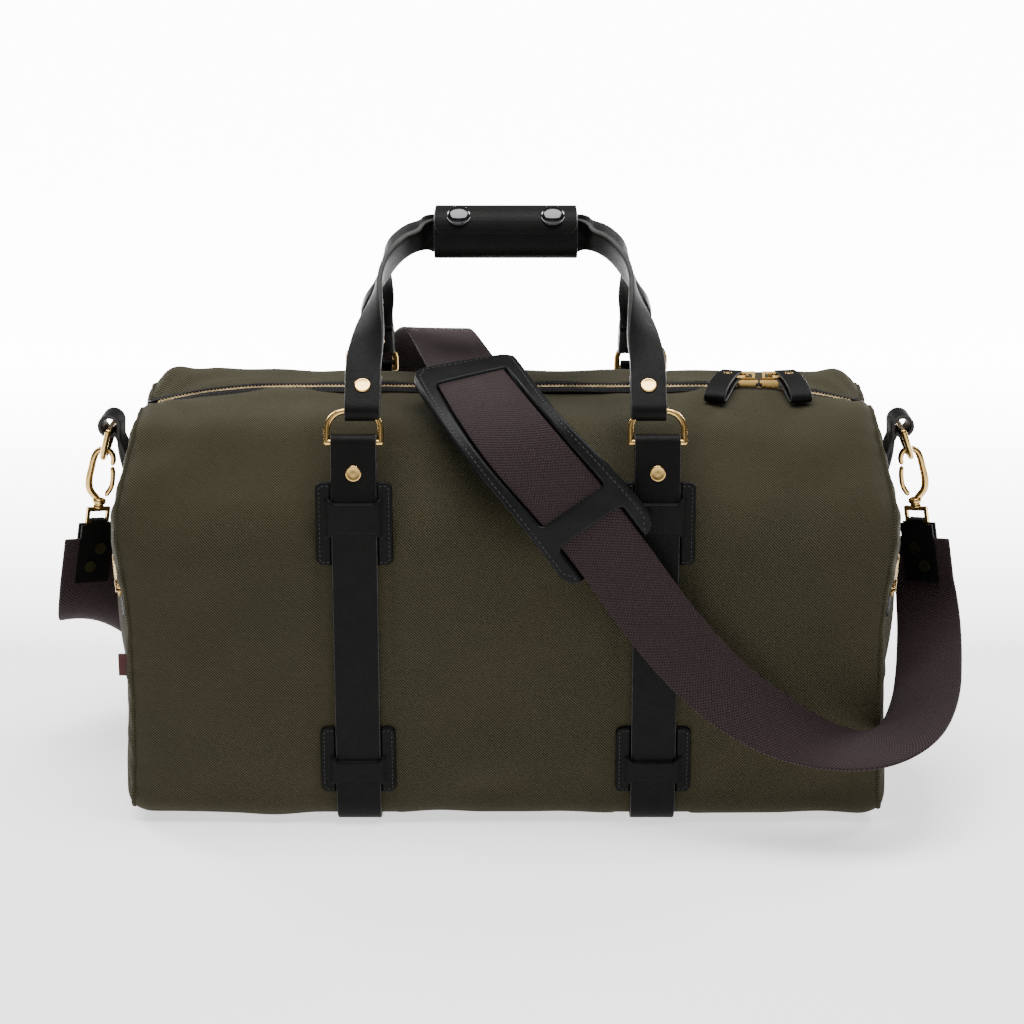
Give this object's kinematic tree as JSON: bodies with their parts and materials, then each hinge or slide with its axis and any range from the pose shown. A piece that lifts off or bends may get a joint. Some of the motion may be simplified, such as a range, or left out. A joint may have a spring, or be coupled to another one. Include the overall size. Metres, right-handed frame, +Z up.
{
  "type": "duffel bag",
  "caption": "canvas duffel bag with black leather straps, snapped carry grip, brass rings, zip mouth, zipped end pockets and a webbing shoulder strap with pad",
  "frame": {"origin": "on the ground under the middle of the bag's body", "axes": "+X towards the bag's right-hand end, +Y towards its back, +Z up"},
  "size_m": [0.6848, 0.354, 0.4322],
  "materials": {
    "canvas": "matte twill",
    "base_canvas": "matte twill",
    "lining": "matte",
    "board": "matte",
    "zip_tape": "matte",
    "brass": "polished",
    "snap_metal": "gloss black",
    "webbing": "coarse basket weave",
    "leather": "semi-matte, fine grain"
  },
  "bodies": {
    "bag": {"back_panel": "canvas", "base_board": "board", "base_panel": "base_canvas", "body_strap_left": "leather", "body_strap_right": "leather", "end_panel_left": "canvas", "end_panel_right": "canvas", "end_tab_left": "leather", "end_tab_right": "leather", "front_panel": "canvas", "handle_back": "leather", "handle_front": "leather", "hook_eye_left": "brass", "hook_eye_right": "brass", "pocket_facing_left": "leather", "pocket_facing_right": "leather", "pocket_lining_left": "lining", "pocket_lining_right": "lining", "pocket_zip_left": "brass", "pocket_zip_right": "brass", "shoulder_pad": "leather", "shoulder_webbing": "webbing", "side_label": "leather", "strap_adjuster": "brass", "strap_keepers_back": "leather", "strap_keepers_front": "leather", "strap_rivets": "brass", "strap_tab_left": "leather", "strap_tab_right": "leather", "strap_tab_rivets": "brass", "zip_facing_back": "leather", "zip_facing_front": "leather", "zip_tape_back": "zip_tape", "zip_tape_front": "zip_tape", "zip_teeth_back": "brass", "zip_teeth_front": "brass"},
    "slider_left": {"zip_slider_left": "brass"},
    "slider_right": {"zip_slider_right": "brass"},
    "pull_left": {"pull_link_left": "brass", "zip_pull_left": "leather"},
    "pull_right": {"pull_link_right": "brass", "zip_pull_right": "leather"},
    "grip": {"grip_wrap": "leather", "snap_studs": "snap_metal"},
    "flap": {"grip_flap": "leather", "snap_caps": "snap_metal"},
    "pocket_slider_left": {"pocket_slider_left": "brass"},
    "pocket_pull_left": {"pocket_pull_left": "brass"},
    "end_ring_left": {"end_ring_left": "brass"},
    "hook_left": {"hook_body_left": "brass"},
    "gate_left": {"hook_gate_left": "brass"},
    "ring_front_left": {"handle_ring_front_left": "brass"},
    "ring_back_left": {"handle_ring_back_left": "brass"},
    "pocket_slider_right": {"pocket_slider_right": "brass"},
    "pocket_pull_right": {"pocket_pull_right": "brass"},
    "end_ring_right": {"end_ring_right": "brass"},
    "hook_right": {"hook_body_right": "brass"},
    "gate_right": {"hook_gate_right": "brass"},
    "ring_front_right": {"handle_ring_front_right": "brass"},
    "ring_back_right": {"handle_ring_back_right": "brass"}
  },
  "joints": [
    {"name": "zip_left_slide", "type": "slide", "parent": "bag", "child": "slider_left", "axis": [1, 0, 0], "range_m": [-0.415, 0]},
    {"name": "zip_right_slide", "type": "slide", "parent": "bag", "child": "slider_right", "axis": [1, 0, 0], "range_m": [0, 0.04]},
    {"name": "pull_left_lift", "type": "hinge", "parent": "slider_left", "child": "pull_left", "pos_m": [0.179, 0, 0.304], "axis": [0, 1, 0], "range_deg": [0, 100]},
    {"name": "pull_right_lift", "type": "hinge", "parent": "slider_right", "child": "pull_right", "pos_m": [0.1955, 0, 0.304], "axis": [0, -1, 0], "range_deg": [0, 100]},
    {"name": "pocket_right_slide", "type": "hinge", "parent": "bag", "child": "pocket_slider_right", "pos_m": [0.037, 0, 0.145], "axis": [0.9767, 0, -0.2147], "range_deg": [-100, 0]},
    {"name": "pocket_right_pull_lift", "type": "hinge", "parent": "pocket_slider_right", "child": "pocket_pull_right", "pos_m": [0.28027, -0.0897, 0.16912], "axis": [0.3173, 0.6837, -0.6572], "range_deg": [0, 95]},
    {"name": "end_ring_right_swing", "type": "hinge", "parent": "bag", "child": "end_ring_right", "pos_m": [0.294, 0, 0.265], "axis": [0, 1, 0], "range_deg": [-4, 4]},
    {"name": "hook_right_swivel", "type": "hinge", "parent": "bag", "child": "hook_right", "pos_m": [0.30221, 0, 0.24245], "axis": [-0.1564, 0, 0.9877], "range_deg": [-12, 12]},
    {"name": "hook_right_gate", "type": "hinge", "parent": "hook_right", "child": "gate_right", "pos_m": [0.30291, 0, 0.21117], "axis": [0, 1, 0], "range_deg": [0, 18], "stiffness_Nm_per_rad": 0.05, "springref_deg": -5.73},
    {"name": "ring_front_right_swing", "type": "hinge", "parent": "bag", "child": "ring_front_right", "pos_m": [0.106, -0.119, 0.283], "axis": [1, 0, 0], "range_deg": [-5, 5], "deforming": ["handle_front", "handle_back"]},
    {"name": "ring_back_right_swing", "type": "hinge", "parent": "bag", "child": "ring_back_right", "pos_m": [0.106, 0.119, 0.283], "axis": [1, 0, 0], "range_deg": [-5, 5], "deforming": ["handle_front", "handle_back"]},
    {"name": "pocket_left_slide", "type": "hinge", "parent": "bag", "child": "pocket_slider_left", "pos_m": [-0.037, 0, 0.145], "axis": [-0.9767, 0, -0.2147], "range_deg": [0, 100]},
    {"name": "pocket_left_pull_lift", "type": "hinge", "parent": "pocket_slider_left", "child": "pocket_pull_left", "pos_m": [-0.28027, -0.0897, 0.16912], "axis": [-0.3173, 0.6837, -0.6572], "range_deg": [-95, 0]},
    {"name": "end_ring_left_swing", "type": "hinge", "parent": "bag", "child": "end_ring_left", "pos_m": [-0.294, 0, 0.265], "axis": [0, 1, 0], "range_deg": [-4, 4]},
    {"name": "hook_left_swivel", "type": "hinge", "parent": "bag", "child": "hook_left", "pos_m": [-0.30062, 0, 0.24193], "axis": [0.1564, 0, 0.9877], "range_deg": [-12, 12]},
    {"name": "hook_left_gate", "type": "hinge", "parent": "hook_left", "child": "gate_left", "pos_m": [-0.30132, 0, 0.21066], "axis": [0, -1, 0], "range_deg": [0, 18], "stiffness_Nm_per_rad": 0.05, "springref_deg": -5.73},
    {"name": "ring_front_left_swing", "type": "hinge", "parent": "bag", "child": "ring_front_left", "pos_m": [-0.106, -0.119, 0.283], "axis": [1, 0, 0], "range_deg": [-5, 5], "deforming": ["handle_front", "handle_back"]},
    {"name": "ring_back_left_swing", "type": "hinge", "parent": "bag", "child": "ring_back_left", "pos_m": [-0.106, 0.119, 0.283], "axis": [1, 0, 0], "range_deg": [-5, 5], "deforming": ["handle_front", "handle_back"]},
    {"name": "grip_swing", "type": "hinge", "parent": "bag", "child": "grip", "pos_m": [0, 0, 0.33], "axis": [1, 0, 0], "range_deg": [-25, 25], "stiffness_Nm_per_rad": 0.9, "deforming": ["handle_front", "handle_back"]},
    {"name": "flap_open", "type": "hinge", "parent": "grip", "child": "flap", "pos_m": [0, 0.0065, 0.42855], "axis": [-1, 0, 0], "range_deg": [0, 140]}
  ]
}
